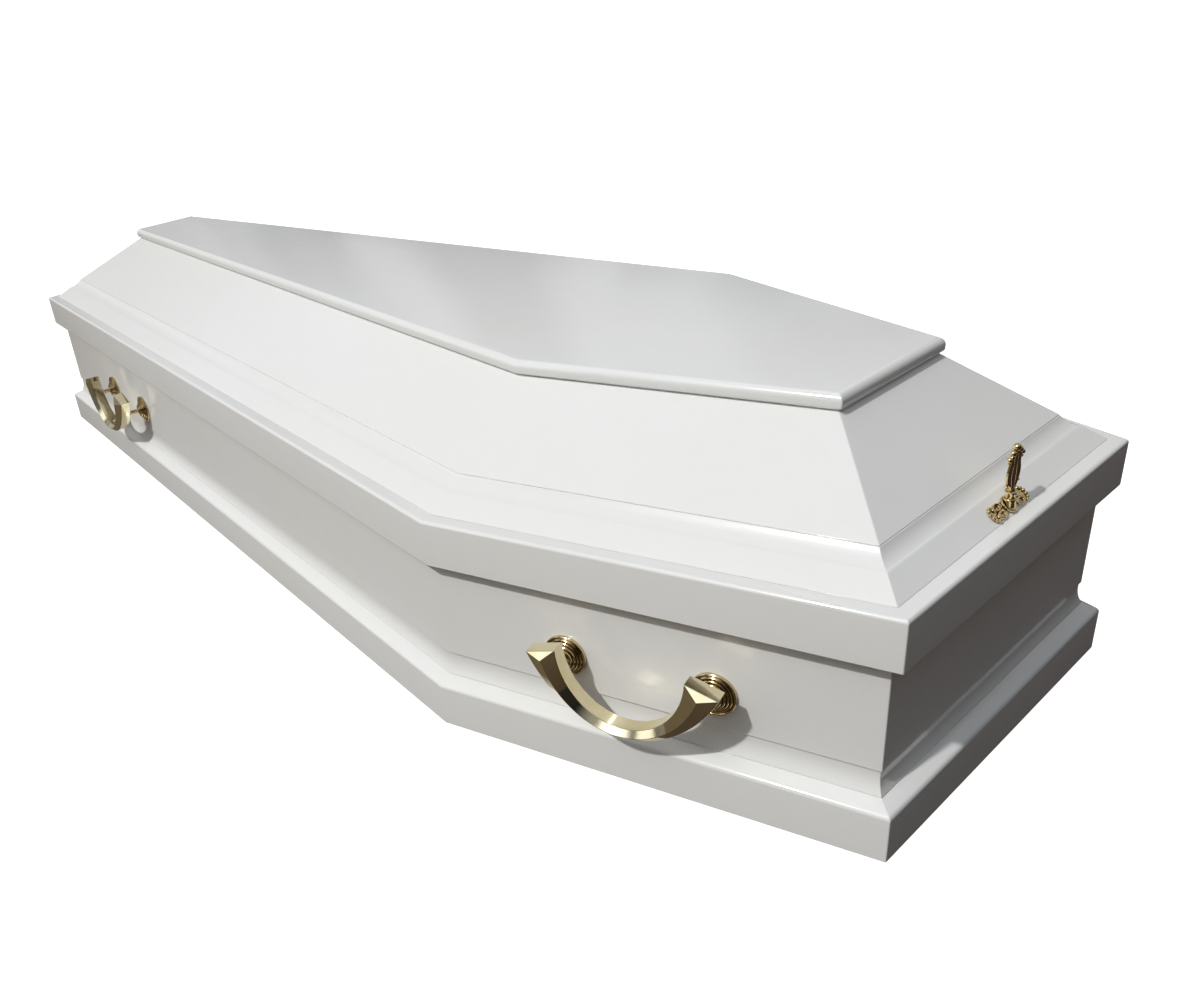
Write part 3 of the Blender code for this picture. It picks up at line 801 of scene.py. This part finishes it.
def thumb_screw(name, node, side):
    """A ribbed wing with a crown of balls, on a turned collar that is sawn to the plate."""
    profile = []
    for radius, up, swell in COLLAR_SHAPE:
        height = COLLAR_HEIGHT + up
        profile += bead(radius, height, swell)[::-1] if swell else [(radius, height)]
    bm = turned(profile + [COLLAR_BASE, (0.0, COLLAR_BASE[1])], COLLAR_STEPS)
    tilt = ledge_tilt()
    up = Vector((0.0, -math.sin(tilt), math.cos(tilt)))
    on_plate = Vector((0.0, -SCREW_SET_IN, 0.0)) + up * (PLATE_THICKNESS + 2 * GAP)
    cut = bmesh.ops.bisect_plane(bm, geom=bm.verts[:] + bm.edges[:] + bm.faces[:], dist=1e-6,
                                 plane_co=on_plate, plane_no=-up, clear_outer=True)
    edges = [part for part in cut["geom_cut"] if isinstance(part, bmesh.types.BMEdge)]
    bmesh.ops.edgeloop_fill(bm, edges=edges)
    wing(bm)
    for across, height, size in CROWN_BALLS:
        ball(bm, (SCREW_HALF_WIDTH * across, 0.0, SCREW_HEIGHT * height), CROWN_RADIUS * size)
    place = ledge_frame(side) @ Matrix.Translation((0.0, SCREW_SET_IN, 0.0))
    piece(name, bm, SCREW_BRASS, [node], place=place, sharp=50.0)


def lid_screws():
    for end in ("head", "foot"):
        side = SIDES.index(end)
        screw_plate(end + "_plate", "screw_plate_" + end, side)
        thumb_screw(end + "_thumb_screw", "thumb_screw_" + end, side)


def bottom():
    board = frame["nodes"]["bottom_board"]
    board.data.materials.clear()
    board.data.materials.append(UNDERSIDE)


# Camera, light and floor

def camera():
    made = bpy.data.objects.new("camera", bpy.data.cameras.new("camera"))
    data = made.data
    data.sensor_width = SENSOR_WIDTH
    data.sensor_fit = "HORIZONTAL"
    data.lens = FOCAL_PIXELS * SENSOR_WIDTH / PHOTO_WIDTH
    data.shift_x = (PHOTO_WIDTH / 2 - CENTRE_X) / PHOTO_WIDTH
    data.shift_y = (CENTRE_Y - PHOTO_HEIGHT / 2) / PHOTO_WIDTH
    data.clip_end = 200.0
    turn = Matrix.Rotation(CAMERA_AZIMUTH, 4, "Z")
    tilt = Matrix.Rotation(math.pi / 2 - CAMERA_ELEVATION, 4, "X")
    roll = Matrix.Rotation(CAMERA_ROLL, 4, "Z")
    made.matrix_world = Matrix.Translation(CAMERA_PLACE) @ turn @ tilt @ roll
    bpy.context.scene.collection.objects.link(made)
    bpy.context.scene.camera = made


def sun(name, strength, receivers):
    """A distant lamp that lights one collection only, and is blocked by nothing else."""
    made = bpy.data.objects.new(name, bpy.data.lights.new(name, "SUN"))
    made.data.energy = strength
    made.data.angle = SUN_ANGLE
    made.data.color = SUN_COLOUR
    made.rotation_euler = SUN_TOWARDS.to_track_quat("Z", "Y").to_euler()
    made.light_linking.receiver_collection = receivers
    made.light_linking.blocker_collection = receivers
    bpy.context.scene.collection.objects.link(made)


def collection(name, objects):
    made = bpy.data.collections.new(name)
    for member in objects:
        made.objects.link(member)
    return made


class Sky:
    """Node maths on the direction that a ray of the world leaves in."""

    def __init__(self, tree):
        self.tree = tree
        self.coordinates = tree.nodes.new("ShaderNodeTexCoord")
        self.split = tree.nodes.new("ShaderNodeSeparateXYZ")
        tree.links.new(self.coordinates.outputs["Generated"], self.split.inputs["Vector"])

    def between(self, value, start, end, first, last):
        """Runs smoothly from the first number to the last as the value goes from start to end."""
        span = self.tree.nodes.new("ShaderNodeMapRange")
        span.interpolation_type = "SMOOTHSTEP"
        for key, number in (("From Min", start), ("From Max", end), ("To Min", first), ("To Max", last)):
            span.inputs[key].default_value = number
        self.tree.links.new(value, span.inputs["Value"])
        return span.outputs["Result"]

    def towards(self, direction):
        """Cosine of the angle between the ray and a direction."""
        dot = self.tree.nodes.new("ShaderNodeVectorMath")
        dot.operation = "DOT_PRODUCT"
        dot.inputs[1].default_value = direction
        self.tree.links.new(self.coordinates.outputs["Generated"], dot.inputs[0])
        return dot.outputs["Value"]

    def grey(self, level):
        colour = self.tree.nodes.new("ShaderNodeCombineColor")
        for target in colour.inputs[:3]:
            self.tree.links.new(level, target)
        return colour.outputs["Color"]

    def product(self, first, second):
        times = self.tree.nodes.new("ShaderNodeMath")
        times.operation = "MULTIPLY"
        for source, target in zip((first, second), times.inputs):
            self.tree.links.new(source, target)
        return times.outputs["Value"]

    def mix(self, factor, first, second):
        mixed = self.tree.nodes.new("ShaderNodeMix")
        mixed.data_type = "RGBA"
        self.tree.links.new(factor, mixed.inputs[0])
        for source, target in ((first, mixed.inputs[6]), (second, mixed.inputs[7])):
            if isinstance(source, tuple):
                target.default_value = source
            else:
                self.tree.links.new(source, target)
        return mixed.outputs[2]

    def streaks(self):
        """Upright light and dark bands, like the trees and walls round a yard."""
        mapping = self.tree.nodes.new("ShaderNodeMapping")
        mapping.inputs["Scale"].default_value = (9.0, 9.0, 0.8)
        noise = self.tree.nodes.new("ShaderNodeTexNoise")
        noise.inputs["Scale"].default_value = 1.0
        noise.inputs["Detail"].default_value = 2.0
        self.tree.links.new(self.coordinates.outputs["Generated"], mapping.inputs["Vector"])
        self.tree.links.new(mapping.outputs["Vector"], noise.inputs["Vector"])
        return noise.outputs["Fac"]


def world():
    """Bright sky overhead, a low belt that is darker towards the head end, and dark ground."""
    made = bpy.data.worlds.new("studio")
    bpy.context.scene.world = made
    made.use_nodes = True
    tree = made.node_tree
    sky = Sky(tree)
    height = sky.split.outputs["Z"]
    belt = sky.product(sky.between(sky.towards(BELT_SIDE), -0.6, 0.6, *BELT_LEVELS),
                       sky.between(sky.streaks(), 0.35, 0.65, 0.6, 1.3))
    above = sky.mix(sky.between(height, *SKY_RISE, 0.0, 1.0), sky.grey(belt), SKY_COLOUR)
    glow = sky.between(sky.towards(SUN_TOWARDS), *[math.cos(angle) for angle in GLOW_ANGLES], 0.0, 1.0)
    above = sky.mix(glow, above, GLOW_COLOUR)
    for place in CLOUDS:
        cloud = sky.between(sky.towards(place), *[math.cos(angle) for angle in CLOUD_ANGLES], 0.0, 1.0)
        above = sky.mix(cloud, above, CLOUD_COLOUR)
    ground = sky.mix(sky.between(sky.towards(GROUND_SIDE), -0.5, 0.6, 0.0, 1.0), GROUND_DARK,
                     GROUND_BRIGHT)
    colour = sky.mix(sky.between(height, -0.02, 0.02, 0.0, 1.0), ground, above)
    tree.links.new(colour, tree.nodes["Background"].inputs["Color"])


def floor():
    """A pale floor that turns up into a backdrop far out, and throws no light back."""
    finish = Nodes("pale_floor")
    colour = finish.ramp(finish.noise(0.8, 3.0), [(0.3, (0.93, 0.93, 0.925)), (0.7, (0.95, 0.95, 0.945))])
    finish.link(colour, finish.shader.inputs["Base Color"])
    finish.link(colour, finish.shader.inputs["Emission Color"])
    finish.set(Roughness=0.9, Emission_Strength=FLOOR_GLOW)
    profile = [(0.0, 0.0), (FLOOR_FLAT - FLOOR_BORDER, 0.0), (FLOOR_FLAT, 0.0)]
    for step in range(1, FLOOR_TURN_STEPS + 1):
        turn = math.pi / 2 * step / FLOOR_TURN_STEPS
        profile.append((FLOOR_FLAT + FLOOR_TURN * math.sin(turn), FLOOR_TURN * (1 - math.cos(turn))))
    mesh = bpy.data.meshes.new("floor")
    bm = turned(profile, FLOOR_ROUND_STEPS)
    bmesh.ops.recalc_face_normals(bm, faces=bm.faces[:])
    bmesh.ops.reverse_faces(bm, faces=bm.faces[:])
    bm.to_mesh(mesh)
    bm.free()
    mesh.shade_smooth()
    mesh.materials.append(finish.material)
    made = bpy.data.objects.new("floor", mesh)
    made.visible_diffuse = False
    made.visible_glossy = False
    bpy.context.scene.collection.objects.link(made)
    return made


camera()
world()
plinth()
base_cove()
body_walls()
lid_rim()
lid_cove()
lid_slopes(panel_insets())
lid_panel(panel_insets())
handles()
lid_screws()
bottom()

coffin = [made for made in bpy.context.scene.objects if made.type == "MESH"]
sun("key", SUN_STRENGTH, collection("lit_by_key", coffin))
sun("floor_lamp", FLOOR_STRENGTH, collection("lit_by_floor_lamp", [floor()]))
bpy.context.scene.view_settings.view_transform = "Standard"
